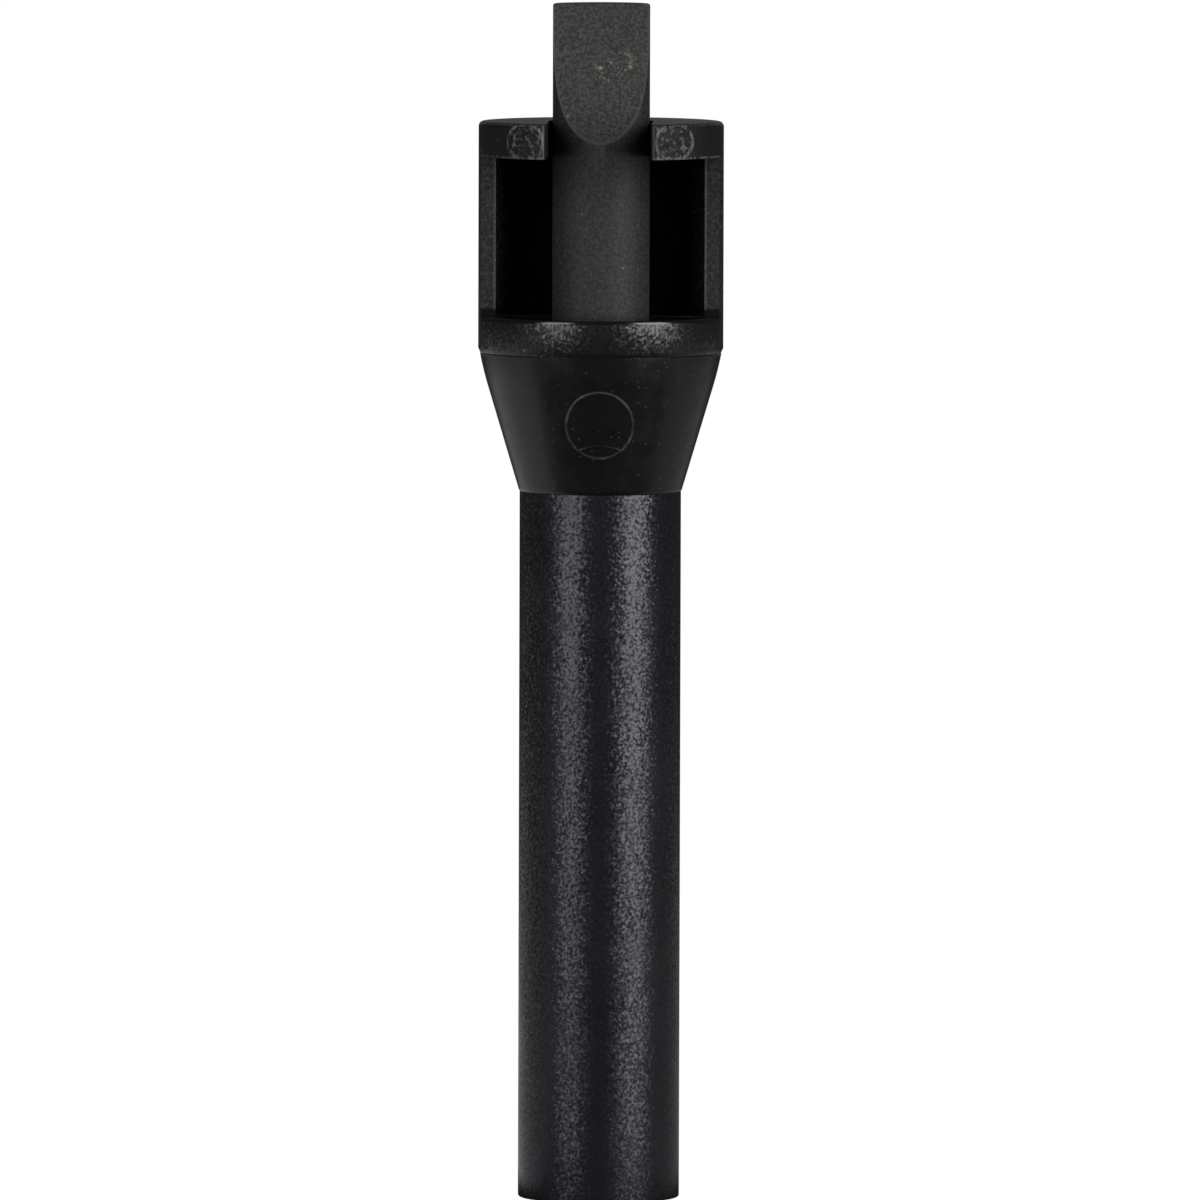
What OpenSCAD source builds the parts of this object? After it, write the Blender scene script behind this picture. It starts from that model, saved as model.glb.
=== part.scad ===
// Pin-type drip emitter. Water enters at the foot of a textured shank, passes a strainer and a
// baffled core, and comes up through a check disc and a seat plate in the smooth cone. A pin in
// the cage head stands on that plate: turned, it sets the flow, and lifted, it flushes the seat.
// Millimetres. +Z runs up the axis, the origin is the centre of the inlet end, and the open side
// of the cage faces -Y.

/* [Shank] */
// Outside diameter of the inlet shank, which a supply tube is pushed over
shank_d = 5.4; // [5:0.1:8]
// Length of shank that shows below the cone
shank_len = 23.68; // [19:0.02:60]
// Diameter of the water way through the shank
bore_d = 3.2; // [2.4:0.1:3.4]
// Wall of the spigot that plugs into the cone
spigot_wall = 0.55; // [0.4:0.05:0.6]
// Length of that spigot
spigot_len = 1.3; // [1:0.1:1.6]
// Edge radius round the inlet end
shank_edge = 0.08; // [0.04:0.02:0.2]

/* [Cone housing] */
// Length of the cone, from the neck seam to the rim seam
cone_len = 4.64; // [4.4:0.02:6]
// How far the neck of the cone stands proud of the shank
neck_lip = 0.01; // [0.01:0.01:0.1]
// How far the rim of the cone sits inside the band of the cage head
rim_step = 0.05; // [0.02:0.01:0.15]
// Height of the softened shoulder under the rim
shoulder_h = 1.1; // [0.6:0.1:1.6]
// How far that shoulder falls inside the straight cone
shoulder_drop = 0.06; // [0.02:0.01:0.1]
// Thickness of the web that the check disc is clamped against
web_t = 0.25; // [0.2:0.05:0.4]
// Diameter of the hole through that web
web_hole_d = 3; // [2.4:0.1:3.2]
// Edge break on each side of the rim seam
seam_edge = 0.05; // [0.02:0.01:0.08]

/* [Cage head] */
// Outside diameter of the cage head
head_d = 8.2; // [8:0.1:11]
// Height of the band round the floor
band_h = 1.24; // [1.1:0.02:2]
// Edge radius along the top of the band
band_edge = 0.1; // [0.04:0.02:0.12]
// Clear height of the window
window_h = 5.34; // [3:0.01:8]
// How far in front of the axis the window's faces stand
window_front = 0.97; // [0.4:0.01:2]
// Wall of the cage round its back
cage_wall = 0.48; // [0.4:0.02:0.8]
// Thickness of the top plate
plate_t = 1.17; // [0.8:0.01:2]
// Edge radius round the top plate
plate_edge = 0.17; // [0.08:0.01:0.3]
// Radius where the slot meets the front of the top plate
slot_edge = 0.15; // [0.08:0.01:0.3]
// Wall of the skirt that plugs into the cone
skirt_wall = 0.8; // [0.7:0.05:0.9]
// Diameter of each of the two outlet ports in the floor
port_d = 0.6; // [0.4:0.05:0.6]
// Width of the notch that opens each port to the chamber
port_notch = 0.4; // [0.2:0.05:0.5]
// Turn from straight back to each outlet port
port_turn = 32; // [24:1:50]

/* [Pin] */
// Diameter of the pin
pin_d = 3.25; // [2.6:0.05:3.4]
// How far the pin stands above the top plate
pin_above = 3.93; // [2:0.01:6]
// Radius of the hollow grind on the pin's tip
scarf_r = 8.2; // [7:0.1:12]
// How far in front of the axis the grind leaves the tip
scarf_front = 0.195; // [0.1:0.005:0.4]
// Edge radius round the tip and the foot
pin_edge = 0.08; // [0.04:0.02:0.15]
// Thickness of the pin's foot, under the stop ring
foot_t = 0.35; // [0.3:0.05:0.6]
// Depth of the crescent that meters the flow, in the foot's underside
meter_depth = 0.2; // [0.1:0.05:0.25]
// Wall left round that crescent
meter_wall = 0.2; // [0.1:0.05:0.4]
// Width of the crescent at its widest
meter_w = 0.8; // [0.5:0.05:0.9]
// Radial running clearance of the pin in the floor
pin_clearance = 0.05; // [0.02:0.01:0.1]
// Gap between the pin and each side of the top plate's slot
slot_gap = 0.125; // [0.05:0.005:0.3]

/* [Seals and stops] */
// Radial section of the pin's O-ring
pin_ring_w = 0.495; // [0.4:0.005:0.55]
// Height of the pin's O-ring as fitted
pin_ring_h = 0.6; // [0.5:0.05:0.7]
// Gap between each O-ring and the pin or the socket beside it
ring_gap = 0.03; // [0.02:0.01:0.05]
// Length of floor bore above that O-ring
bore_land = 0.55; // [0.4:0.05:0.8]
// Thickness of the gland ring
gland_t = 0.38; // [0.3:0.02:0.6]
// Gap between the gland ring and the pin
gland_gap = 0.1; // [0.06:0.02:0.2]
// Thickness of the stop ring
stop_t = 0.34; // [0.3:0.02:0.5]
// Clearance of the stop ring in the pin's groove, and above and below it
stop_clearance = 0.04; // [0.02:0.01:0.06]
// Depth of that groove
groove_depth = 0.32; // [0.2:0.02:0.4]
// Width of each lug on the stop ring
lug_w = 0.7; // [0.5:0.05:0.9]
// How far the lugs reach into the keyways of the skirt
lug_reach = 0.23; // [0.15:0.01:0.3]
// Clearance of each lug in its keyway
key_clearance = 0.07; // [0.04:0.01:0.1]
// Radial section of the body O-ring
body_ring_w = 0.4; // [0.3:0.05:0.4]
// Height of the body O-ring as fitted
body_ring_h = 0.4; // [0.3:0.05:0.5]

/* [Flow parts] */
// Thickness of the check disc
disc_t = 0.3; // [0.2:0.05:0.4]
// Diameter of each small hole in the check disc
disc_hole_d = 0.35; // [0.2:0.05:0.5]
// Number of those holes
disc_holes = 6; // [3:1:8]
// Thickness of the seat plate
seat_t = 0.45; // [0.3:0.05:0.6]
// How far the seat plate's pocket is set in from the cone's socket
seat_step = 0.35; // [0.2:0.05:0.4]
// Diameter of the feed hole in the seat plate
feed_d = 0.7; // [0.4:0.05:0.9]
// Distance of the feed hole from the axis
feed_r = 1; // [0.8:0.05:1.1]
// Gap between the seat plate and the pin's foot at rest
seat_gap = 0.03; // [0.02:0.01:0.05]
// Length of the baffled core
core_len = 13.6; // [6:0.1:15]
// Thickness of each baffle on the core
baffle_t = 0.4; // [0.3:0.05:0.6]
// Spacing of the baffles
baffle_pitch = 1.1; // [0.9:0.1:2]
// Distance of the core's flat from the axis
core_flat = 0.5; // [0:0.1:1]
// Length of the inlet strainer
filter_len = 5.2; // [3.6:0.1:6]
// Length of the strainer's rim, which is pressed into the bore
filter_rim = 0.8; // [0.6:0.1:1.2]
// Wall of the strainer, and its gap to the bore above the rim
filter_wall = 0.3; // [0.25:0.05:0.4]
// Width of each slot in the strainer
filter_slot = 0.35; // [0.2:0.05:0.5]
// How far the strainer and the core are kept from the ends and from each other
inner_gap = 0.6; // [0.3:0.1:1]

/* [Hidden] */
$fn = 96;
cut = 0.5;            // how far a cutting solid runs past what it cuts
arc_steps = 6;        // straight steps in each rounded corner
bulge = 0.4;          // corner radius of a squeezed seal, as a share of its lesser side
mouth = 0.8;          // width of the stop ring's mouth, as a share of its hole
horn = 0.01;          // how far the metering crescent's inner circle passes its outer one

bore_r = bore_d / 2;
shank_r = shank_d / 2;
spigot_r = bore_r + spigot_wall;
neck_r = shank_r + neck_lip;
head_r = head_d / 2;
rim_r = head_r - rim_step;
cavity_r = head_r - cage_wall;
pin_r = pin_d / 2;
pin_bore_r = pin_r + pin_clearance;
slot_r = pin_r + slot_gap;
gland_r = pin_r + ring_gap + pin_ring_w;
lug_r = gland_r + lug_reach;
key_r = lug_r + key_clearance;
skirt_r = gland_r + skirt_wall;
port_r = (gland_r + skirt_r) / 2;
seat_r = skirt_r - seat_step;
body_ring_out = skirt_r - ring_gap;
meter_r = pin_r - meter_wall;
cone_slope = (rim_r - neck_r + shoulder_drop) / cone_len;

z_neck = shank_len;
z_spigot = z_neck + spigot_len;
z_web = z_spigot + disc_t;
z_seat = z_web + web_t;
z_seat_top = z_seat + seat_t;
z_skirt = z_seat_top + body_ring_h;
z_rim = z_neck + cone_len;
z_floor = z_rim + band_h;
z_plate = z_floor + window_h;
z_top = z_plate + plate_t;
z_tip = z_top + pin_above;
z_gland_top = z_floor - bore_land;
z_gland = z_gland_top - pin_ring_h;
z_gland_low = z_gland - gland_t;
z_foot = z_seat_top + seat_gap;
z_groove = z_foot + foot_t;
z_stop = z_groove + stop_clearance;
z_stop_top = z_stop + stop_t;
z_core = inner_gap + filter_len + inner_gap;

black_textured = "#2b2b2d";
black_smooth = "#1d1d1f";
pin_grey = "#454545";
seal_black = "#101010";
silicone = "#9aa3a6";
natural_white = "#d9d6cc";

// Points of a rounded corner: centre, radius, and the two angles that it runs between.
function corner(centre, r, from, to) =
    [for (i = [0:arc_steps]) let (a = from + (to - from) * i / arc_steps)
        centre + r * [cos(a), sin(a)]];

// Outer radius of the cone at a height above the neck seam.
function cone_r(dz) =
    neck_r + cone_slope * dz
    - shoulder_drop * pow(max(0, dz - cone_len + shoulder_h) / shoulder_h, 2);

// A washer or sleeve between two radii and two heights.
module sleeve(r_in, r_out, low, high)
    translate([0, 0, low]) difference() {
        cylinder(r = r_out, h = high - low);
        translate([0, 0, -cut]) cylinder(r = r_in, h = high - low + 2 * cut);
    }

// A seal as it lies squeezed in its groove: flat where it seats, round at its corners.
module squeezed_ring(r_in, r_out, low, high) {
    edge = bulge * min(r_out - r_in, high - low);
    rotate_extrude() polygon(concat(
        corner([r_out - edge, low + edge], edge, -90, 0),
        corner([r_out - edge, high - edge], edge, 0, 90),
        corner([r_in + edge, high - edge], edge, 90, 180),
        corner([r_in + edge, low + edge], edge, 180, 270)));
}

// The tube that carries the emitter. A shoulder seats the cone, and a spigot plugs into it.
module shank_tube() color(black_textured) rotate_extrude() polygon(concat(
    [[bore_r, 0]],
    corner([shank_r - shank_edge, shank_edge], shank_edge, -90, 0),
    [[shank_r, z_neck], [spigot_r, z_neck], [spigot_r, z_spigot], [bore_r, z_spigot]]));

// A slotted thimble pressed into the inlet. Its blind end points up the bore.
module inlet_filter() color(natural_white) difference() {
    body_r = bore_r - filter_wall;
    slot_len = filter_len - filter_rim - 2 * filter_wall;
    union() {
        translate([0, 0, inner_gap]) cylinder(r = bore_r, h = filter_rim);
        translate([0, 0, inner_gap]) cylinder(r = body_r, h = filter_len);
    }
    translate([0, 0, inner_gap - cut])
        cylinder(r = body_r - filter_wall, h = filter_len + cut - filter_wall);
    for (turn = [0:45:135]) rotate(turn)
        translate([-bore_r, -filter_slot / 2, inner_gap + filter_rim + filter_wall / 2])
            cube([2 * bore_r, filter_slot, slot_len]);
}

// A plug with a flat side. Baffles cross the flat from alternate edges, so the water zigzags.
module labyrinth_core() color(natural_white) difference() {
    baffles = floor((core_len - 2 * baffle_t) / baffle_pitch);
    first = (core_len - (baffles - 1) * baffle_pitch - baffle_t) / 2;
    translate([0, 0, z_core]) cylinder(r = bore_r, h = core_len);
    // the cells below, between and above the baffles
    for (i = [0:baffles]) {
        low = i == 0 ? -cut : first + (i - 1) * baffle_pitch + baffle_t;
        high = i == baffles ? core_len + cut : first + i * baffle_pitch;
        translate([core_flat, -bore_r, z_core + low]) cube([bore_r, bore_d, high - low]);
    }
    // the gap round the end of each baffle
    for (i = [0:baffles - 1])
        mirror([0, i % 2, 0])
            translate([core_flat, bore_r / 3, z_core + first + i * baffle_pitch - baffle_t / 2])
                cube([bore_r, bore_r, 2 * baffle_t]);
}

// A silicone disc clamped between the spigot and the web. Back flow presses it shut.
module check_disc() color(silicone) difference() {
    translate([0, 0, z_spigot]) cylinder(r = spigot_r, h = disc_t);
    for (i = [0:disc_holes - 1]) rotate(i * 360 / disc_holes)
        translate([web_hole_d / 2 - disc_hole_d, 0, z_spigot - cut])
            cylinder(d = disc_hole_d, h = disc_t + 2 * cut);
}

// The smooth cone. The spigot plugs in from below, and the cage head's skirt from above.
module cone_housing() color(black_smooth) difference() {
    rotate_extrude() polygon(concat(
        [[0, z_neck], [neck_r, z_neck]],
        [for (dz = [cone_len - shoulder_h:shoulder_h / arc_steps:cone_len - seam_edge])
            [cone_r(dz), z_neck + dz]],
        [[cone_r(cone_len - seam_edge), z_rim - seam_edge], [rim_r - seam_edge, z_rim],
         [0, z_rim]]));
    translate([0, 0, z_neck - cut]) cylinder(r = spigot_r, h = z_web - z_neck + cut);
    translate([0, 0, z_neck]) cylinder(d = web_hole_d, h = cone_len);
    translate([0, 0, z_seat]) cylinder(r = seat_r, h = cone_len);
    translate([0, 0, z_seat_top]) cylinder(r = skirt_r, h = cone_len);
}

// The plate that the pin's foot turns on. Its feed hole is off the axis.
module seat_plate() color(natural_white) difference() {
    translate([0, 0, z_seat]) cylinder(r = seat_r, h = seat_t);
    translate([0, -feed_r, z_seat - cut]) cylinder(d = feed_d, h = seat_t + 2 * cut);
}

// The seal between the cone and the cage head.
module body_oring() color(seal_black)
    squeezed_ring(body_ring_out - body_ring_w, body_ring_out, z_seat_top, z_skirt);

// The solid floor of the cage with its skirt below and its band outside.
module head_floor() rotate_extrude() polygon(concat(
    [[0, z_skirt], [skirt_r, z_skirt], [skirt_r, z_rim], [head_r - seam_edge, z_rim],
     [head_r, z_rim + seam_edge]],
    corner([head_r - band_edge, z_floor - band_edge], band_edge, 0, 90),
    [[0, z_floor]]));

// The wall of the cage, cut back flat on each side of the window.
module head_wall() difference() {
    sleeve(cavity_r, head_r, z_floor - band_edge, z_plate);
    translate([-head_d, -head_d - window_front, z_floor - cut])
        cube([2 * head_d, head_d, window_h + 2 * cut]);
}

// The top plate, a disc with a rounded upper edge.
module head_plate() rotate_extrude() polygon(concat(
    [[0, z_plate], [head_r, z_plate]],
    corner([head_r - plate_edge, z_top - plate_edge], plate_edge, 0, 90),
    [[0, z_top]]));

// What rounds one front corner of the slot, as a prism through the plate.
module slot_corner_cut() {
    centre = [slot_r + slot_edge,
              -sqrt(pow(head_r - slot_edge, 2) - pow(slot_r + slot_edge, 2))];
    beyond = centre * (head_r + cut) / (head_r - slot_edge);
    translate([0, 0, z_plate - cut]) linear_extrude(plate_t + 2 * cut) difference() {
        polygon([centre, [slot_r - cut, centre.y], [slot_r - cut, -head_r - cut], beyond]);
        translate(centre) circle(r = slot_edge);
    }
}

// The cage head: band, closed back wall, and a top plate whose slot holds the pin upright.
module cage_head() color(black_textured) difference() {
    union() {
        head_floor();
        head_wall();
        head_plate();
    }
    // the slot
    translate([0, 0, z_plate - cut]) cylinder(r = slot_r, h = plate_t + 2 * cut);
    translate([-slot_r, -head_r - cut, z_plate - cut])
        cube([2 * slot_r, head_r + cut, plate_t + 2 * cut]);
    for (side = [0, 1]) mirror([side, 0, 0]) slot_corner_cut();
    // the pin's bore and the gland below it
    translate([0, 0, z_gland]) cylinder(r = pin_bore_r, h = z_floor - z_gland + cut);
    translate([0, 0, z_skirt - cut]) cylinder(r = gland_r, h = z_gland_top - z_skirt + cut);
    // the keyways for the stop ring's lugs
    for (turn = [0, 180]) rotate(turn)
        translate([0, -lug_w / 2 - key_clearance, z_skirt - cut])
            cube([key_r, lug_w + 2 * key_clearance, z_gland_low - z_skirt + cut]);
    // the outlet ports, each with a notch that opens it to the chamber
    for (turn = [90 - port_turn, 90 + port_turn]) rotate(turn) {
        translate([port_r, 0, z_skirt - cut]) cylinder(d = port_d, h = z_floor - z_skirt + 2 * cut);
        translate([0, -port_notch / 2, z_skirt - cut])
            cube([port_r, port_notch, z_gland_low - z_skirt]);
    }
}

// The retainer pressed in under the pin's O-ring. It is also what stops the lift.
module gland_ring() color(natural_white)
    sleeve(pin_r + gland_gap, gland_r, z_gland_low, z_gland);

// The pin's seal.
module pin_oring() color(seal_black)
    squeezed_ring(pin_r + ring_gap, gland_r, z_gland, z_gland_top);

// A split ring clipped into the pin's groove. Its lugs keep it from turning with the pin.
module stop_ring() color(natural_white) difference() {
    hole_r = pin_r - groove_depth + stop_clearance;
    union() {
        translate([0, 0, z_stop]) cylinder(r = gland_r - key_clearance, h = stop_t);
        translate([-lug_r, -lug_w / 2, z_stop]) cube([2 * lug_r, lug_w, stop_t]);
    }
    translate([0, 0, z_stop - cut]) cylinder(r = hole_r, h = stop_t + 2 * cut);
    translate([-mouth * hole_r, 0, z_stop - cut])
        cube([2 * mouth * hole_r, gland_r, stop_t + 2 * cut]);
}

// The pin: a plain rod with a hollow-ground tip, a groove for the stop ring, and a foot whose
// underside carries the metering crescent and the notch that it drains through.
module drip_pin() color(pin_grey) difference() {
    rotate_extrude() polygon(concat(
        [[0, z_foot], [pin_r - pin_edge, z_foot]],
        corner([pin_r - pin_edge, z_foot + pin_edge], pin_edge, -90, 0),
        corner([pin_r - pin_edge, z_tip - pin_edge], pin_edge, 0, 90),
        [[0, z_tip]]));
    translate([-pin_d, -scarf_front - scarf_r, z_tip])
        rotate([0, 90, 0]) cylinder(r = scarf_r, h = 2 * pin_d, $fn = 240);
    sleeve(pin_r - groove_depth, pin_d, z_groove, z_groove + stop_t + 2 * stop_clearance);
    translate([0, 0, z_foot - cut]) difference() {
        cylinder(r = meter_r, h = meter_depth + cut);
        translate([meter_w / 2, 0, -cut])
            cylinder(r = meter_r - meter_w / 2 + horn, h = meter_depth + 3 * cut);
    }
    translate([-pin_d, -feed_d / 4, z_foot - cut])
        cube([pin_d - feed_r, feed_d / 2, meter_depth + cut]);
}

shank_tube();
inlet_filter();
labyrinth_core();
check_disc();
cone_housing();
seat_plate();
body_oring();
cage_head();
gland_ring();
pin_oring();
stop_ring();
drip_pin();
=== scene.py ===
"""Looks of a pin-type drip emitter: grained shank, smooth cone, slotted cage head, grey pin."""
import math

import bpy
from mathutils import Matrix, Vector, noise


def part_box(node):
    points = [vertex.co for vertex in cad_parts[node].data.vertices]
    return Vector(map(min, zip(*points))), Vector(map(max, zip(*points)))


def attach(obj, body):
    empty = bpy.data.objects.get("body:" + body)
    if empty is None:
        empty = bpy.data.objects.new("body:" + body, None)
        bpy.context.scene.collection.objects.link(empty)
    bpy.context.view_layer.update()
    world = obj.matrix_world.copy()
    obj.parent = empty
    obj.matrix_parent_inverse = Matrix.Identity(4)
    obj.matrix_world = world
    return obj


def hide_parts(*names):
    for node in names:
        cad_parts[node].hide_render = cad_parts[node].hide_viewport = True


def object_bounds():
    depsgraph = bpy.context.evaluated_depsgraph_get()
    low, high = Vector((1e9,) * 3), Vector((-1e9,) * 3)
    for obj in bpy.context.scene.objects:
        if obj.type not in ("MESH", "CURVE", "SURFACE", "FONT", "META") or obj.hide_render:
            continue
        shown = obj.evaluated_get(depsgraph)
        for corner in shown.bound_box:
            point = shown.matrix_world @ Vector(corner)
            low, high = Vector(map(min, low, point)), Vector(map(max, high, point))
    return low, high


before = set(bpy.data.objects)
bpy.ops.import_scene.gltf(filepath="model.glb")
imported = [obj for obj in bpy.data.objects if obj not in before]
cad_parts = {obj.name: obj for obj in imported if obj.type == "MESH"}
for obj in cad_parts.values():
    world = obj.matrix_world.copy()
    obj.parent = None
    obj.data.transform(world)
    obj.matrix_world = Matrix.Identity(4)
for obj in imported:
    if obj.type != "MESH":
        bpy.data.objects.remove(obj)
cad_low, cad_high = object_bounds()
MM = 0.001

# ---------------------------------------------------------------------------------------------
# The camera: a long lens 0.6 m away, a little above the pin's tip and a touch to the right of
# square. The fitting fills the frame from edge to edge, leaning by a sixth of a degree.

camera_far = 600 * MM
camera_height = 57.3 * MM
camera_turn = math.radians(1.6)
camera_roll = math.radians(0.16)
framed_height = 40.17 * MM
aim_point = Vector((0, 0, (cad_low.z + cad_high.z) / 2 + 0.03 * MM))

camera = bpy.data.objects.new("camera", bpy.data.cameras.new("camera"))
bpy.context.scene.collection.objects.link(camera)
camera.location = (camera_far * math.sin(camera_turn), -camera_far * math.cos(camera_turn),
                   camera_height)
looking = aim_point - camera.location
camera.data.sensor_width = 36
camera.data.lens = camera.data.sensor_width * looking.length / framed_height
camera.data.clip_end = 20
camera.rotation_mode = "QUATERNION"
camera.rotation_quaternion = looking.to_track_quat("-Z", "Y") @ Matrix.Rotation(
    camera_roll, 3, "Z").to_quaternion()
bpy.context.scene.camera = camera

# ---------------------------------------------------------------------------------------------
# Shank tube. Black polypropylene, injection moulded in a spark-eroded cavity, so it is pitted
# all over with a fine even grain. Its foot is cut square and its top seats the cone.

shank_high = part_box("shank_tube")[1]
cone_low, cone_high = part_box("cone_housing")
shank_r = shank_high.x
bore_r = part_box("inlet_filter")[1].x
neck_z = cone_low.z
shank_edge = 0.08 * MM
bore_edge = 0.05 * MM
spigot_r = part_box("check_disc")[1].x
grain = 0.1 * MM
grain_tilt = 0.7
grain_roughness = 0.33
rubbed_low, rubbed_high, rubbed_share = 1 * MM, 16 * MM, 0.6
polypropylene_ior = 1.49


def arc(centre_r, centre_z, radius, start, end, steps=8):
    """Points of a rounded corner in a profile, between two angles in degrees."""
    angles = [math.radians(start + (end - start) * i / steps) for i in range(steps + 1)]
    return [(centre_r + radius * math.cos(a), centre_z + radius * math.sin(a)) for a in angles]


def even_turns(count):
    """Azimuths all the way round, evenly spaced."""
    return [math.tau * i / count for i in range(count)]


def finish_piece(name, points, faces):
    """A mesh object from points and faces, smooth except across its sharp edges."""
    mesh = bpy.data.meshes.new(name)
    mesh.from_pydata(points, [], faces)
    mesh.validate()
    mesh.shade_smooth()
    mesh.set_sharp_from_angle(angle=math.radians(30))
    piece = bpy.data.objects.new(name, mesh)
    bpy.context.scene.collection.objects.link(piece)
    return piece


def lathe(name, profile, turns):
    """A closed profile of (radius, height) turned round Z. Points on the axis become poles."""
    points, faces, rows = [], [], []
    for radius, height in profile:
        if radius < 1e-9:
            rows.append([len(points)] * len(turns))
            points.append((0, 0, height))
            continue
        rows.append(list(range(len(points), len(points) + len(turns))))
        points += [(radius * math.cos(a), radius * math.sin(a), height) for a in turns]
    for low, high in zip(rows, rows[1:] + rows[:1]):
        if low[0] == low[1] and high[0] == high[1]:
            continue
        for i in range(len(turns)):
            j = (i + 1) % len(turns)
            corners = [low[i], low[j], high[j], high[i]]
            faces.append([c for n, c in enumerate(corners) if c != corners[n - 1]])
    return finish_piece(name, points, faces)


def linear(hex_colour):
    """An sRGB hex colour as the linear colour that shaders take."""
    parts = [int(hex_colour[i:i + 2], 16) / 255 for i in (1, 3, 5)]
    return [c / 12.92 if c <= 0.04045 else ((c + 0.055) / 1.055) ** 2.4 for c in parts] + [1]


def add(tree, kind, inputs=(), **settings):
    """Adds a node with its settings. An input is a number, a colour, or a socket to link from."""
    made = tree.nodes.new("ShaderNode" + kind)
    for name, value in settings.items():
        setattr(made, name, value)
    for name, value in dict(inputs).items():
        if isinstance(value, bpy.types.NodeSocket):
            tree.links.new(value, made.inputs[name])
        else:
            made.inputs[name].default_value = value
    return made


def empty_material(name):
    """A material with no nodes, and its node tree."""
    material = bpy.data.materials.new(name)
    material.use_nodes = True
    material.node_tree.nodes.clear()
    return material, material.node_tree


def new_material(name):
    """An empty material, its node tree, and a socket that gives the place on it in mm."""
    material, tree = empty_material(name)
    place = add(tree, "TexCoord").outputs["Object"]
    place_mm = add(tree, "VectorMath", {0: place, "Scale": 1 / MM}, operation="SCALE")
    return material, tree, place_mm.outputs[0]


def noise_field(tree, place, size, detail=2, roughness=0.5):
    """Cloudy noise that lies round a half, its clouds a size in mm across."""
    return add(tree, "TexNoise", {"Vector": place, "Scale": 1 / size, "Detail": detail,
                                  "Roughness": roughness}).outputs[0]


def calc(tree, operation, *values, **settings):
    """What a maths node makes of some values."""
    return add(tree, "Math", dict(enumerate(values)), operation=operation, **settings).outputs[0]


def ramp(tree, value, low, high, to_low=0, to_high=1):
    """A value stretched so that low gives to_low and high gives to_high, and held beyond them."""
    return add(tree, "MapRange", {"Value": value, "From Min": low, "From Max": high,
                                  "To Min": to_low, "To Max": to_high}).outputs[0]


def tint(tree, share, low, high):
    """A colour that goes from low to high with a share. Each is a hex colour or a socket."""
    low, high = [linear(c) if isinstance(c, str) else c for c in (low, high)]
    return add(tree, "Mix", {0: share, 6: low, 7: high}, data_type="RGBA").outputs[2]


def bumps(tree, height, depth):
    """The normal of a surface whose relief is a height from 0 to 1 times a depth."""
    return add(tree, "Bump", {"Height": height, "Strength": 1, "Distance": depth}).outputs[0]


def stretched(tree, place, scale, turn=0):
    """A place for noise that is to look drawn out along Z, and may lean in the XZ plane."""
    return add(tree, "Mapping", {"Vector": place, "Rotation": (0, turn, 0),
                                 "Scale": (1, 1, scale)}).outputs[0]


def surface(tree, inputs):
    """Closes a material with a principled shader."""
    shader = add(tree, "BsdfPrincipled", inputs)
    add(tree, "OutputMaterial", {"Surface": shader.outputs[0]})


def spark_grain(tree, place):
    """The normal of a spark-eroded surface: fine pits that lean every way, shallower towards
    the foot, where hands and tubes have rubbed them."""
    pits = add(tree, "TexNoise", {"Vector": place, "Scale": MM / grain, "Detail": 2})
    lean = add(tree, "VectorMath", {0: pits.outputs["Color"], 1: (0.5, 0.5, 0.5)},
               operation="SUBTRACT")
    height = add(tree, "SeparateXYZ", {"Vector": place}).outputs["Z"]
    wear = ramp(tree, height, rubbed_low / MM, rubbed_high / MM, rubbed_share * grain_tilt,
                grain_tilt)
    leaning = add(tree, "VectorMath", {0: lean.outputs[0], "Scale": wear}, operation="SCALE")
    facing = add(tree, "NewGeometry").outputs["Normal"]
    tilted = add(tree, "VectorMath", {0: leaning.outputs[0], 1: facing}, operation="ADD")
    return add(tree, "VectorMath", {0: tilted.outputs[0]}, operation="NORMALIZE").outputs[0]


def spark_eroded_black(name):
    """Black polypropylene from a spark-eroded mould. The grain breaks every highlight into
    sparks, and slight flow marks vary the gloss."""
    material, tree, place = new_material(name)
    flow = noise_field(tree, place, 2.5)
    gloss = ramp(tree, flow, 0.3, 0.7, grain_roughness - 0.04, grain_roughness + 0.04)
    surface(tree, {"Base Color": tint(tree, flow, "#101012", "#141417"),
                   "IOR": polypropylene_ior, "Specular Tint": linear("#f2f0ff"),
                   "Roughness": gloss, "Normal": spark_grain(tree, place)})
    return material


shank_profile = (
    [(bore_r, bore_edge), (bore_r + bore_edge, 0)]
    + arc(shank_r - shank_edge, shank_edge, shank_edge, -90, 0)
    + [(shank_r, z * neck_z) for z in (0.1, 0.3, 0.5, 0.7, 0.9)]
    + [(shank_r, neck_z), (spigot_r, neck_z), (spigot_r, shank_high.z), (bore_r, shank_high.z)]
)
shank = lathe("shank_tube_skin", shank_profile, even_turns(192))
shank.data.materials.append(spark_eroded_black("spark_eroded_shank_black"))
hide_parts("shank_tube")
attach(shank, "body")

# ---------------------------------------------------------------------------------------------
# Cone housing. Black polypropylene from a polished cavity, so it is smooth and half glossy. An
# ejector pin has left a round witness line on its front, with a lens at the line's lower end.

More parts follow.
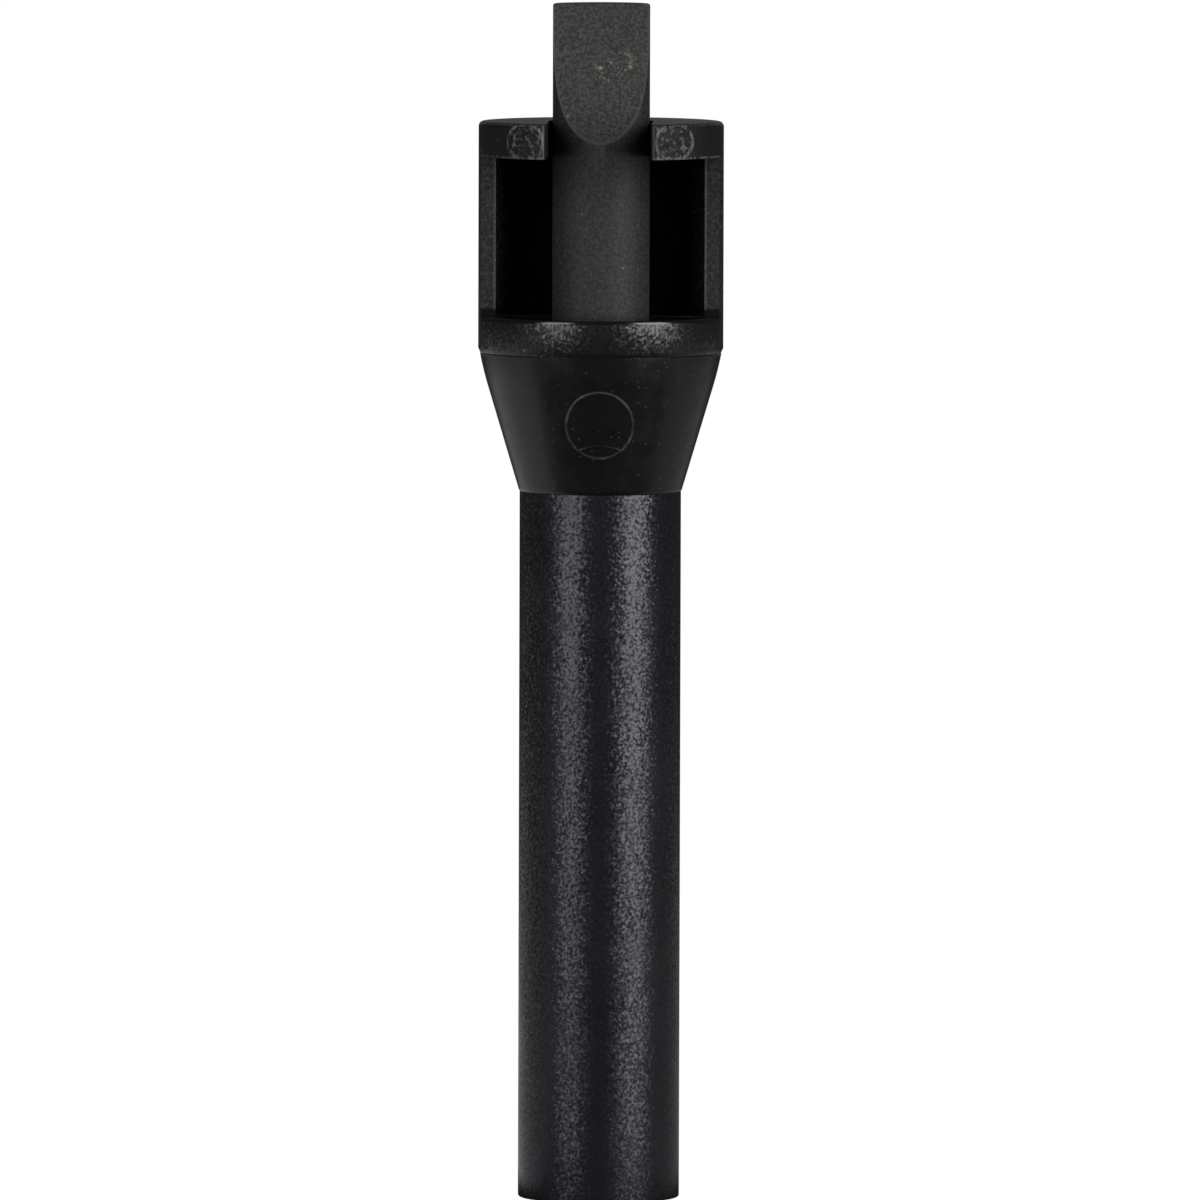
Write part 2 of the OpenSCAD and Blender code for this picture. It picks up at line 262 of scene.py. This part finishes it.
head_low, head_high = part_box("cage_head")
plate_low, plate_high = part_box("seat_plate")
cone_rim_z = cone_high.z
cone_rim_r = cone_high.x
head_r = head_high.x
neck_r = shank_r + 0.01 * MM
neck_edge = 0.05 * MM
skirt_r = plate_high.x + 0.35 * MM
web_bore_r = 1.5 * MM
web_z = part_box("check_disc")[1].z
cone_length = cone_rim_z - neck_z
shoulder_h = 1.1 * MM
shoulder_drop = 0.06 * MM
seam_edge = 0.03 * MM
mark_r = 1.11 * MM
mark_z = 26.05 * MM
mark_x = 0.06 * MM
mark_line = 0.05 * MM
mark_height = 0.02 * MM
mark_dish = 0.002 * MM
mark_mesh = 0.022 * MM
lens_r = 1.65 * MM
lens_drop = 0.72 * MM
scratch_x = -0.27 * MM
scratch_low, scratch_high, scratch_lean = 0.17 * MM, 0.9 * MM, 0.06
coarse_turn = math.radians(1.5)


def cone_radius(z):
    """Outer radius of the cone: a straight taper that softens under its rim."""
    rise = z - neck_z
    slope = (cone_rim_r - neck_r + shoulder_drop) / cone_length
    above = max(0, rise - cone_length + shoulder_h) / shoulder_h
    return neck_r + slope * rise - shoulder_drop * above ** 2


def witness_height(x, z):
    """How far the ejector pin's mark stands out of the cone at a place on its front."""
    across, up = x - mark_x, z - mark_z
    ring = abs(math.hypot(across, up) - mark_r)
    wobble = 0.5 + 0.5 * noise.noise(Vector((x, 0, z)) / (0.5 * MM))
    height = mark_height * (0.45 + wobble) * max(0, 1 - ring / mark_line)
    if math.hypot(across, up) < mark_r:
        lens = abs(math.hypot(across, up + lens_drop + lens_r) - lens_r)
        height = max(height, mark_height * 0.8 * max(0, 1 - lens / mark_line))
        if scratch_low < up < scratch_high:
            scratch = abs(across - scratch_x - scratch_lean * up)
            height = max(height, mark_height * 0.6 * max(0, 1 - scratch / mark_line))
        height -= mark_dish
    return height


def fine_steps(low, high, fine_low, fine_high, fine, coarse):
    """Values from low to high: finely spaced inside the fine stretch, and coarsely outside it."""
    values, at = [], low
    while at < high - fine / 2:
        values.append(at)
        at += fine if fine_low <= at < fine_high else coarse
    return values + [high]


front = -math.pi / 2
mark_reach = mark_r + 2 * mark_line
mark_turn = mark_reach / cone_radius(mark_z)
cone_turns = [front + a for a in fine_steps(-math.pi, math.pi, -mark_turn, mark_turn,
                                            mark_mesh / cone_radius(mark_z), coarse_turn)][:-1]
cone_heights = fine_steps(neck_z + 0.06 * MM, cone_rim_z - seam_edge, mark_z - mark_reach,
                          mark_z + mark_reach, mark_mesh, 0.1 * MM)
cone_outside = (
    arc(neck_r - neck_edge, neck_z + neck_edge, neck_edge, -90, -10, 4)
    + [(cone_radius(z), z) for z in cone_heights]
    + arc(cone_rim_r - seam_edge, cone_rim_z - seam_edge, seam_edge, 0, 90, 6)[1:]
)
cone_inside = [(skirt_r, cone_rim_z), (skirt_r, plate_high.z), (plate_high.x, plate_high.z),
               (plate_high.x, plate_low.z), (web_bore_r, plate_low.z), (web_bore_r, web_z),
               (spigot_r, web_z), (spigot_r, neck_z)]
cone = lathe("cone_housing_skin", cone_outside + cone_inside, cone_turns)
for vertex in cone.data.vertices:
    place = vertex.co
    radius = math.hypot(place.x, place.y)
    on_outside = radius > cone_radius(max(place.z, neck_z)) - 0.001 * MM
    if on_outside and place.y < 0 and abs(place.x - mark_x) < mark_reach:
        grown = radius + witness_height(place.x, place.z)
        place.x *= grown / radius
        place.y *= grown / radius


def dust(tree, place, spacing, size, share):
    """Where specks of dust lie, as 0 to 1. Spacing and size are in mm, and the share is of the
    places that hold a speck."""
    cells = add(tree, "TexVoronoi", {"Vector": place, "Scale": 1 / spacing, "Randomness": 1})
    speck = ramp(tree, cells.outputs["Distance"], size / spacing, 0.4 * size / spacing)
    chance = add(tree, "SeparateXYZ", {"Vector": cells.outputs["Color"]})
    return calc(tree, "MULTIPLY", speck, calc(tree, "LESS_THAN", chance.outputs["X"], share))


def reach_from(tree, across, up, x, z):
    """How far a place across and up the front is, in mm, from a point there."""
    flat = add(tree, "CombineXYZ", {"X": across, "Z": up})
    return add(tree, "VectorMath", {0: flat.outputs[0], 1: (x / MM, 0, z / MM)},
               operation="DISTANCE").outputs["Value"]


def polished_black(name):
    """Black polypropylene from a polished cavity. Half glossy, with faint mottling, a painted
    highlight along the ejector pin's witness ring, a few fine rubs that show only in the
    highlights, and dust."""
    material, tree, place = new_material(name)
    parts = add(tree, "SeparateXYZ", {"Vector": place}).outputs
    mottle = noise_field(tree, place, 0.6, detail=5, roughness=0.6)
    orange_peel = noise_field(tree, place, 0.18)
    rubs = noise_field(tree, stretched(tree, place, 0.12), 0.1)
    height = calc(tree, "MULTIPLY_ADD", rubs, 0.3, orange_peel)
    reach = reach_from(tree, parts["X"], parts["Z"], mark_x, mark_z)
    on_ring = calc(tree, "COMPARE", reach, mark_r / MM, 0.035)
    in_front = calc(tree, "LESS_THAN", parts["Y"], 0)
    ring = calc(tree, "MULTIPLY", on_ring, in_front)
    # the witness ring is painted pale in broken stretches: a painted highlight along its raised
    # line
    painted_ring_highlight = calc(tree, "MULTIPLY", ring, ramp(tree, mottle, 0.38, 0.6, 0.2))
    marked = tint(tree, painted_ring_highlight, "#0e0e0f", "#444444")
    dusty = tint(tree, dust(tree, place, spacing=0.22, size=0.05, share=0.45), marked, "#303030")
    surface(tree, {"Base Color": dusty, "IOR": polypropylene_ior,
                   "Roughness": ramp(tree, mottle, 0.3, 0.7, 0.26, 0.36),
                   "Normal": bumps(tree, height, 0.0022 * MM)})
    return material


cone.data.materials.append(polished_black("polished_cone_black"))
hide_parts("cone_housing")
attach(cone, "body")

# ---------------------------------------------------------------------------------------------
# Cage head. One black polypropylene moulding: a band round the floor, a closed back wall cut
# flat at each side of the window, and a slotted top plate that steadies the pin. The plate is
# smoother than the rest, and an ejector mark lies on each side of its slot.

pin_low, pin_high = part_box("drip_pin")
gland_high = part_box("gland_ring")[1]
ring_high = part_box("pin_oring")[1]
band_edge = 0.1 * MM
foot_taper = 0.07 * MM
foot_height = 0.17 * MM
foot_edge = 0.02 * MM
floor_z = cone_rim_z + 1.24 * MM
plate_z = floor_z + 5.34 * MM
top_z = head_high.z
plate_edge = 0.17 * MM
window_y = -0.97 * MM
cavity_r = head_r - 0.48 * MM
foot_fillet = 0.16 * MM
pin_r = pin_high.x
floor_bore_r = pin_r + 0.05 * MM
slot_r = pin_r + 0.125 * MM
slot_edge = 0.15 * MM
port_r = (gland_high.x + skirt_r) / 2
overrun = 0.4 * MM
pad_x = 2.48 * MM
pad_shift = 0.04 * MM
pad_z = 35.48 * MM
pad_r = 0.6 * MM
pad_rim = 0.1 * MM
pad_rise = 0.02 * MM
pad_lump = 0.03 * MM
pad_mesh = 0.03 * MM
moulded_edge = 0.04 * MM
port_hole_r = 0.3 * MM
port_degrees = 32
start_hole_r = 0.5 * MM
start_hole_z = floor_z + 1 * MM


def prism(name, outline, low, high):
    """An outline in the XY plane, stood up between two heights."""
    count = len(outline)
    points = [(x, y, z) for z in (low, high) for x, y in outline]
    sides = [(i, (i + 1) % count, count + (i + 1) % count, count + i) for i in range(count)]
    caps = [tuple(reversed(range(count))), tuple(range(count, 2 * count))]
    return finish_piece(name, points, sides + caps)


def settle_mesh(piece):
    """Applies a piece's modifiers to its mesh."""
    bpy.context.view_layer.update()
    shape = piece.evaluated_get(bpy.context.evaluated_depsgraph_get())
    mesh = bpy.data.meshes.new_from_object(shape)
    piece.modifiers.clear()
    piece.data = mesh


def carve(piece, tool, operation="DIFFERENCE"):
    """Cuts a tool out of a piece, or keeps only what they share, and throws the tool away."""
    cut = piece.modifiers.new("carve", "BOOLEAN")
    cut.operation, cut.object, cut.solver = operation, tool, "EXACT"
    settle_mesh(piece)
    bpy.data.objects.remove(tool)


def soften(piece, width):
    """Rounds every sharp edge of a piece by a small radius, and evens out its shading."""
    edge = piece.modifiers.new("soften", "BEVEL")
    edge.width, edge.segments, edge.limit_method = width, 3, "ANGLE"
    edge.angle_limit = math.radians(35)
    edge.harden_normals = True
    settle_mesh(piece)


def pad_stretch(low):
    """The azimuths that an ejector pad takes up, in the quarter that starts at an azimuth."""
    middle = -pad_turn if low > -3 * math.pi / 4 else pad_turn - math.pi
    return middle - pad_span, middle + pad_span


def pad_height(x, z):
    """How far an ejector pad stands out of the front of the top plate: a rough rim round a
    torn, lumpy middle."""
    across, up = abs(x - pad_shift) - pad_x, z - pad_z
    reach = math.hypot(across, up)
    if reach > pad_r + pad_rim:
        return 0
    place = Vector((x, 0, z)) / MM
    lumps = noise.fractal(place / 0.35, 1.0, 2.0, 3)
    wander = 1 + 0.5 * noise.noise(place / 0.3)
    rim = math.exp(-((reach - pad_r) / (0.45 * pad_rim)) ** 2) * wander
    fade = min(1, max(0, (pad_r - reach) / pad_rim))
    return pad_lump * lumps * fade + pad_rise * rim


def blend(tree, share, low, high):
    """A number that goes from low to high with a share."""
    return add(tree, "Mix", {0: share, 2: low, 3: high}).outputs[0]


def normal_blend(tree, share, low, high):
    """A normal that goes from low to high with a share."""
    return add(tree, "Mix", {0: share, 4: low, 5: high}, data_type="VECTOR").outputs[1]


def from_axis(tree, parts):
    """How far a place is from the fitting's axis, in mm."""
    level = add(tree, "CombineXYZ", {"X": parts["X"], "Y": parts["Y"]})
    return add(tree, "VectorMath", {0: level.outputs[0]}, operation="LENGTH").outputs["Value"]


def cage_head_black(name):
    """Black polypropylene from a spark-eroded mould, coarser on the wall's flat faces. The top
    plate is smoother and streaked. Its pads are torn rough and painted pale, partly as a painted
    highlight. Painted highlights run along the plate's front edges and down the inner edges of
    the wall's flat faces, and dust lies here and there."""
    material, tree, place = new_material(name)
    parts = add(tree, "SeparateXYZ", {"Vector": place}).outputs
    radial = from_axis(tree, parts)
    streaks = noise_field(tree, stretched(tree, place, 0.15, turn=0.6), 0.08, detail=3)
    torn = noise_field(tree, place, 0.16, detail=4, roughness=0.7)

    # where the zones are: the plate, the wall above the band, and what faces the front
    plate = ramp(tree, parts["Z"], plate_z / MM - 0.01, plate_z / MM)
    wall = ramp(tree, parts["Z"], floor_z / MM + 0.2, floor_z / MM + 0.3)
    in_front = calc(tree, "LESS_THAN", parts["Y"], window_y / MM + 0.05)
    outer = calc(tree, "GREATER_THAN", radial, head_r / MM - 0.07)
    on_front = calc(tree, "MULTIPLY", outer, in_front)

    # the pads, the same at both sides, and the burnished line along the top of the band
    side = calc(tree, "ABSOLUTE", calc(tree, "SUBTRACT", parts["X"], pad_shift / MM))
    reach = reach_from(tree, side, parts["Z"], pad_x, pad_z)
    round_pad = ramp(tree, reach, pad_r / MM + 0.04, pad_r / MM - 0.04)
    pad = calc(tree, "MULTIPLY", round_pad, on_front)
    band_top = (floor_z - band_edge) / MM
    above_band = ramp(tree, parts["Z"], band_top - 0.05, band_top + 0.01)
    burnished = calc(tree, "MULTIPLY", calc(tree, "SUBTRACT", above_band, wall), in_front)

    # relief: pits below the plate, streaks on it, lumps on the pads, none on the burnished line
    relief = blend(tree, pad, calc(tree, "MULTIPLY", streaks, 0.35), torn)
    facets = normal_blend(tree, plate, spark_grain(tree, place), bumps(tree, relief, 0.04 * MM))
    normal = normal_blend(tree, burnished, facets, add(tree, "NewGeometry").outputs["Normal"])

    # roughness, and how strong the highlights are
    wall_gloss = blend(tree, wall, grain_roughness, 0.46)
    lower_gloss = blend(tree, burnished, wall_gloss, 0.13)
    gloss = blend(tree, plate, lower_gloss, blend(tree, pad, 0.44, 0.5))
    sheen = blend(tree, plate, 0.5, blend(tree, pad, 0.4, 0.2))

    # pale paint on the plate's front: the torn pads, partly their rough colour and partly a
    # painted highlight, a painted highlight on their broken rim, and painted highlights along the
    # plate's top and bottom edges
    broken = ramp(tree, streaks, 0.4, 0.6)
    pad_tears_and_highlight = calc(tree, "MULTIPLY", pad, ramp(tree, torn, 0.53, 0.64))
    rim_front = calc(tree, "MULTIPLY", calc(tree, "COMPARE", reach, pad_r / MM, 0.05), on_front)
    pad_tears_and_highlight_rim = calc(tree, "MAXIMUM", calc(tree, "MULTIPLY", pad_tears_and_highlight, 0.8),
                      calc(tree, "MULTIPLY", rim_front, broken))
    low_edge = calc(tree, "COMPARE", parts["Z"], plate_z / MM + 0.04, 0.035)
    high_edge = calc(tree, "COMPARE", parts["Z"], top_z / MM - 0.03, 0.035)
    edges_front = calc(tree, "MULTIPLY", calc(tree, "MAXIMUM", low_edge, high_edge), on_front)
    plate_edge_highlights = calc(tree, "MULTIPLY", edges_front, broken)
    plate_tears_and_highlights = calc(tree, "MULTIPLY_ADD", plate_edge_highlights, 0.6, pad_tears_and_highlight_rim, use_clamp=True)

    # a painted highlight down the inner edge of the wall's flat faces
    inner_edge = calc(tree, "COMPARE", radial, cavity_r / MM, 0.07)
    wall_only = calc(tree, "MULTIPLY", wall, calc(tree, "SUBTRACT", 1, plate))
    inner_edge_highlight = calc(tree, "MULTIPLY", calc(tree, "MULTIPLY", inner_edge, in_front), wall_only)

    # colour: grit on the wall, then the plate with its painted highlights, the painted inner edge
    # highlight and dust
    grit = ramp(tree, noise_field(tree, place, 0.12, detail=2, roughness=0.7), 0.47, 0.65)
    lower_tint = tint(tree, wall, "#111113", tint(tree, grit, "#080809", "#272729"))
    upper_tint = tint(tree, plate_tears_and_highlights, "#111113", "#606262")
    edged = tint(tree, inner_edge_highlight, tint(tree, plate, lower_tint, upper_tint), "#333335")
    dusty = tint(tree, dust(tree, place, spacing=0.5, size=0.06, share=0.35), edged, "#5c5c5a")
    surface(tree, {"Base Color": dusty, "IOR": polypropylene_ior, "Specular IOR Level": sheen,
                   "Roughness": gloss, "Normal": normal})
    return material


plate_bottom = plate_z + 0.02 * MM
pad_turn = math.acos(pad_x / head_r)
pad_span = (pad_r + pad_rim) / math.sqrt(head_r ** 2 - pad_x ** 2)
head_turns = [a for low, high in ((-math.pi, -math.pi / 2), (-math.pi / 2, 0))
              for a in fine_steps(low, high, *pad_stretch(low), pad_mesh / head_r,
                                  coarse_turn)[:-1]] + [a / 2 for a in even_turns(120)]

# the head is turned with a narrow hole above its floor bore, and the hollow and the slot are
# then cut through it
head_profile = (
    [(gland_high.x, head_low.z), (skirt_r, head_low.z), (skirt_r, cone_rim_z),
     (head_r - foot_taper - foot_edge, cone_rim_z), (head_r - foot_taper, cone_rim_z + foot_edge),
     (head_r, cone_rim_z + foot_height)]
    + [(head_r, z) for z in fine_steps(plate_bottom, top_z - plate_edge, plate_bottom, top_z,
                                       pad_mesh, pad_mesh)]
    + arc(head_r - plate_edge, top_z - plate_edge, plate_edge, 10, 90, 8)
    + [(start_hole_r, top_z), (start_hole_r, start_hole_z), (floor_bore_r, start_hole_z),
       (floor_bore_r, ring_high.z), (gland_high.x, ring_high.z)]
)
head = lathe("cage_head_skin", head_profile, head_turns)

# the hollow behind the window, open to the front as far as its flat faces
wall_turn = math.asin(-window_y / cavity_r)
back_of_hollow = [(cavity_r * math.cos(a), cavity_r * math.sin(a)) for a in
                  [-wall_turn + (math.pi + 2 * wall_turn) * i / 120 for i in range(121)]]
outside = head_r + overrun
hollow_outline = back_of_hollow + [(-outside, window_y), (-outside, -outside),
                                   (outside, -outside), (outside, window_y)]
carve(head, prism("hollow", hollow_outline, floor_z, plate_z))

# the rounded top edge of the band, which runs round the front of the floor
rounding_profile = (
    [(head_r - band_edge, floor_z + overrun)]
    + arc(head_r - band_edge, floor_z - band_edge, band_edge, 90, 0)
    + [(outside, floor_z - band_edge), (outside, floor_z + overrun)]
)
rounding = lathe("rounding", rounding_profile, even_turns(240))
front_half = [(-2 * outside, -2 * outside), (2 * outside, -2 * outside),
              (2 * outside, window_y), (-2 * outside, window_y)]
carve(rounding, prism("front_half", front_half, 0, 2 * top_z), "INTERSECT")
carve(head, rounding)

# the slot through the top plate, flared where it meets the plate's front
corner_x = slot_r + slot_edge
corner_y = -math.sqrt((head_r - slot_edge) ** 2 - corner_x ** 2)
outward = math.degrees(math.atan2(corner_y, corner_x))
slot_side = arc(corner_x, corner_y, slot_edge, 180, 360 + outward, 10)
right_side = [(slot_side[-1][0], -outside)] + slot_side[::-1]
back_of_slot = [(slot_r * math.cos(a), slot_r * math.sin(a)) for a in
                [math.pi * i / 60 for i in range(61)]]
slot_outline = right_side + back_of_slot + [(-x, y) for x, y in right_side[::-1]]
carve(head, prism("slot", slot_outline, plate_z - overrun, top_z + overrun))

# the outlet ports in the floor
for side in (-1, 1):
    turn = math.radians(90 + side * port_degrees)
    port = [(port_r * math.cos(turn) + port_hole_r * math.cos(a),
             port_r * math.sin(turn) + port_hole_r * math.sin(a)) for a in even_turns(40)]
    carve(head, prism("port", port, head_low.z - overrun, floor_z + overrun))

# fillets where the flat faces of the wall stand on the floor
sunk = 0.1 * MM
fillet_y = window_y - foot_fillet
foot = ([(fillet_y, floor_z - sunk), (fillet_y, floor_z)]
        + arc(fillet_y, floor_z + foot_fillet, foot_fillet, -90, 0, 6)
        + [(window_y + sunk, floor_z + foot_fillet), (window_y + sunk, floor_z - sunk)])
inner_x = math.sqrt(cavity_r ** 2 - window_y ** 2)
outer_x = math.sqrt(head_r ** 2 - fillet_y ** 2) - band_edge / 2
for side in (-1, 1):
    fillet = prism("foot", foot, *sorted((side * inner_x, side * outer_x)))
    fillet.data.transform(Matrix(((0, 0, 1, 0), (1, 0, 0, 0), (0, 1, 0, 0), (0, 0, 0, 1))))
    carve(head, fillet, "UNION")

soften(head, moulded_edge)
for vertex in head.data.vertices:
    place = vertex.co
    radius = math.hypot(place.x, place.y)
    if place.y < 0 and place.z > plate_bottom and radius > head_r - 0.01 * MM:
        grown = radius + pad_height(place.x, place.z)
        place.x *= grown / radius
        place.y *= grown / radius

head.data.materials.append(cage_head_black("spark_eroded_head_black"))
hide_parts("cage_head")
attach(head, "body")

# ---------------------------------------------------------------------------------------------
# Drip pin. A rod of matt grey filled elastomer, drawn and cut to length, with a hollow-ground
# tip. It is the softest looking piece, scuffed along its length, with mineral specks on the tip.

scarf_r = 8.2 * MM
scarf_front = 0.195 * MM
pin_edge = 0.08 * MM
grind_edge = 0.03 * MM
groove_r = pin_r - 0.32 * MM
groove_z = pin_low.z + 0.35 * MM
groove_top = groove_z + 0.42 * MM
scuff_place = (0.5 * MM, -0.4 * MM, pin_high.z - 2.2 * MM)

pin_profile = (
    [(0, pin_low.z)]
    + arc(pin_r - pin_edge, pin_low.z + pin_edge, pin_edge, -90, 0, 5)
    + [(pin_r, groove_z), (groove_r, groove_z), (groove_r, groove_top), (pin_r, groove_top)]
    + arc(pin_r - pin_edge, pin_high.z - pin_edge, pin_edge, 0, 90, 6)
    + [(0, pin_high.z)]
)
pin = lathe("drip_pin_skin", pin_profile, even_turns(160))
grind_y = -scarf_front - scarf_r
grind_outline = [(grind_y + scarf_r * math.cos(a), scarf_r * math.sin(a))
                 for a in even_turns(720)]
grind = prism("grind", grind_outline, -2 * pin_r, 2 * pin_r)
grind.data.transform(Matrix(((0, 0, 1, 0), (1, 0, 0, 0), (0, 1, 0, pin_high.z), (0, 0, 0, 1))))
carve(pin, grind)
soften(pin, grind_edge)


def matt_grey_elastomer(name):
    """Grey filled elastomer, drawn through a die. Matt and finely mottled, with a few pale and
    tan specks, and a painted highlight along the edge where the grinding meets the rod."""
    material, tree, place = new_material(name)
    parts = add(tree, "SeparateXYZ", {"Vector": place}).outputs
    drag = noise_field(tree, stretched(tree, place, 0.08), 0.12, detail=3)
    height = calc(tree, "MULTIPLY_ADD", drag, 0.6, noise_field(tree, place, 0.09, detail=3))

    # the ground face lies on the cylinder that cut it, and the painted edge highlight is where it
    # meets the rod
    upright = add(tree, "CombineXYZ", {"Y": parts["Y"], "Z": parts["Z"]})
    ground = add(tree, "VectorMath", {0: upright.outputs[0],
                                      1: (0, grind_y / MM, pin_high.z / MM)},
                 operation="DISTANCE")
    on_face = calc(tree, "COMPARE", ground.outputs["Value"], scarf_r / MM, 0.03)
    radial = from_axis(tree, parts)
    rim = ramp(tree, radial, pin_r / MM - 0.05, pin_r / MM - 0.03)
    pin_edge_highlight = calc(tree, "MULTIPLY", rim, on_face)

    filler = ramp(tree, noise_field(tree, place, 0.1, detail=2, roughness=0.7), 0.42, 0.64)
    mixed = calc(tree, "MULTIPLY_ADD", noise_field(tree, place, 0.9, detail=4), 0.3, filler)
    base = tint(tree, on_face, tint(tree, mixed, "#0d0d0d", "#2c2c2c"),
                tint(tree, mixed, "#121212", "#3a3a39"))
    # a pale line painted along the edge of the ground face: a painted highlight
    pin_edge_highlighted = tint(tree, pin_edge_highlight, base, "#373735")

    # tan scuffs to the right of the face's middle, then specks of two kinds
    scuff_reach = add(tree, "VectorMath", {0: place, 1: [c / MM for c in scuff_place]},
                      operation="DISTANCE").outputs["Value"]
    tears = ramp(tree, noise_field(tree, place, 0.3, detail=4, roughness=0.75), 0.55, 0.64)
    scuffs = calc(tree, "MULTIPLY", ramp(tree, scuff_reach, 0.8, 0.5), tears)
    scuffed = tint(tree, scuffs, pin_edge_highlighted, "#7d7160")
    tan = tint(tree, dust(tree, place, spacing=0.3, size=0.045, share=0.12), scuffed, "#463f35")
    pale = tint(tree, dust(tree, place, spacing=0.6, size=0.06, share=0.3), tan, "#5e5e5c")
    surface(tree, {"Base Color": pale, "IOR": 1.5, "Specular IOR Level": 0.36,
                   "Roughness": 0.66, "Normal": bumps(tree, height, 0.006 * MM)})
    return material


pin.data.materials.append(matt_grey_elastomer("matt_grey_elastomer"))
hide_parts("drip_pin")
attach(pin, "pin")

# ---------------------------------------------------------------------------------------------
# The pieces inside. Strainer, core, seat plate, gland ring and stop ring are natural acetal,
# the check disc is silicone, and the two O-rings are nitrile rubber.


def natural_acetal(name):
    """Unpigmented acetal, moulded: milky white, faintly waxy, with slight flow lines."""
    material, tree, place = new_material(name)
    tone = tint(tree, noise_field(tree, place, 1.2, detail=3), "#d3cfc3", "#dedbd1")
    surface(tree, {"Base Color": tone, "IOR": 1.48, "Roughness": 0.38,
                   "Subsurface Weight": 0.15, "Subsurface Scale": 0.3 * MM,
                   "Normal": bumps(tree, noise_field(tree, place, 0.15), 0.002 * MM)})
    return material


def soft_rubber(name, low_hex, high_hex, roughness):
    """Moulded rubber: even in colour with a slightly dusty bloom."""
    material, tree, place = new_material(name)
    bloom = tint(tree, noise_field(tree, place, 0.7, detail=4), low_hex, high_hex)
    surface(tree, {"Base Color": bloom, "IOR": 1.43, "Roughness": roughness,
                   "Normal": bumps(tree, noise_field(tree, place, 0.08), 0.003 * MM)})
    return material


acetal = natural_acetal("natural_acetal")
silicone = soft_rubber("clear_grey_silicone", "#8e979a", "#a3abad", 0.45)
nitrile = soft_rubber("nitrile_rubber", "#141414", "#1b1b1b", 0.6)
finishes = {"inlet_filter": acetal, "labyrinth_core": acetal, "seat_plate": acetal,
            "gland_ring": acetal, "stop_ring": acetal, "check_disc": silicone,
            "body_oring": nitrile, "pin_oring": nitrile}
for node_name, finish in finishes.items():
    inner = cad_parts[node_name]
    inner.data.materials.clear()
    inner.data.materials.append(finish)

# ---------------------------------------------------------------------------------------------
# The studio: a white surround, two tall soft boxes whose reflections run down the shank, a low
# one behind that skims the top plate, and two dim glowing cards at the level of the shank's foot
# that the cone's flanks and the shank's sides pick up.

white = linear("#ffffff")
room_light = 0.03
card_z = -0.01 * MM
card_near, card_far = 5 * MM, 110 * MM


def glowing_card(name, outline, strength):
    """A flat card of light that lies level just under the foot. Only reflections show it."""
    mesh = bpy.data.meshes.new(name)
    mesh.from_pydata([(x, y, card_z) for x, y in outline], [], [tuple(range(len(outline)))])
    material, tree = empty_material(name)
    glow = add(tree, "Emission", {"Color": white, "Strength": strength})
    add(tree, "OutputMaterial", {"Surface": glow.outputs[0]})
    mesh.materials.append(material)
    card = bpy.data.objects.new(name, mesh)
    bpy.context.scene.collection.objects.link(card)
    card.visible_camera = False
    card.visible_diffuse = False


glowing_card("left_card", [(-card_near, card_far), (-card_far, card_far),
                           (-card_far, -0.4 * card_far), (-card_near, -0.4 * card_near)], 0.55)
glowing_card("right_card", [(card_near, -0.2 * card_near), (card_far, -0.2 * card_far),
                            (card_far, card_far), (card_near, card_far)], 0.28)

world = bpy.data.worlds.new("studio")
bpy.context.scene.world = world
world.use_nodes = True
world.node_tree.nodes.clear()
straight = add(world.node_tree, "LightPath").outputs["Is Camera Ray"]
backdrop = add(world.node_tree, "Background", {"Color": white, "Strength": 1})
room = add(world.node_tree, "Background", {"Color": white, "Strength": room_light})
surround = add(world.node_tree, "MixShader", {0: straight, 1: room.outputs[0],
                                              2: backdrop.outputs[0]})
add(world.node_tree, "OutputWorld", {"Surface": surround.outputs[0]})


def soft_box(name, azimuth, distance, width, low, high, brightness):
    """A soft light that faces the fitting, from a low to a high height. Azimuth is in degrees
    from straight in front, positive to the right, and brightness is in whites."""
    height = high - low
    light = bpy.data.lights.new(name, "AREA")
    light.shape, light.size, light.size_y = "RECTANGLE", width, height
    light.energy = brightness * math.pi * width * height
    box = bpy.data.objects.new(name, light)
    bpy.context.scene.collection.objects.link(box)
    a = math.radians(azimuth)
    middle = (low + high) / 2
    box.location = (distance * math.sin(a), -distance * math.cos(a), middle)
    aim = Vector((0, 0, middle)) - box.location
    box.rotation_mode = "QUATERNION"
    box.rotation_quaternion = aim.to_track_quat("-Z", "Y")
    box.visible_camera = False


soft_box("left_soft_box", azimuth=-42, distance=180 * MM, width=96 * MM,
         low=0, high=200 * MM, brightness=4.2)
soft_box("right_soft_box", azimuth=52, distance=180 * MM, width=110 * MM,
         low=0, high=200 * MM, brightness=6.6)
soft_box("back_soft_box", azimuth=180, distance=250 * MM, width=200 * MM,
         low=44 * MM, high=110 * MM, brightness=0.45)

view = bpy.context.scene.view_settings
view.view_transform, view.look, view.exposure = "Standard", "None", 0
